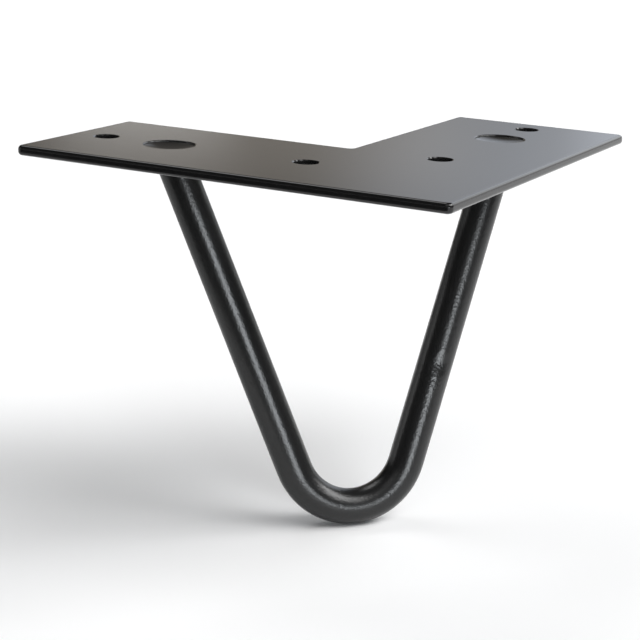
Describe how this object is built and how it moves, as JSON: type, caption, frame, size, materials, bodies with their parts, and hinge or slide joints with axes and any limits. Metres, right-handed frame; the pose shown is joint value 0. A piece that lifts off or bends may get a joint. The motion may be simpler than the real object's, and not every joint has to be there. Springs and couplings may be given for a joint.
{
  "type": "hairpin table leg",
  "caption": "Short hairpin leg: a round rod bent to a leaning V with a rounded foot, plug-welded into an L-shaped plate that screws under the corner of a table or cabinet.",
  "frame": {"origin": "where the centrelines of the plate's two arms cross, on the flat face that meets the table", "axes": "+Z out of the mounting face, up into the table; the left arm runs along -X and the right arm along +Y, so the outer corner is at +X -Y and the foot is below, at -Z"},
  "size_m": [0.121, 0.121, 0.1],
  "materials": {
    "black_powder_coat": "satin black powder coat with a fine orange-peel texture over steel"
  },
  "bodies": {
    "root": {"mounting_plate": "black_powder_coat", "hairpin_rod": "black_powder_coat", "left_plug_weld": "black_powder_coat", "right_plug_weld": "black_powder_coat"}
  },
  "joints": []
}
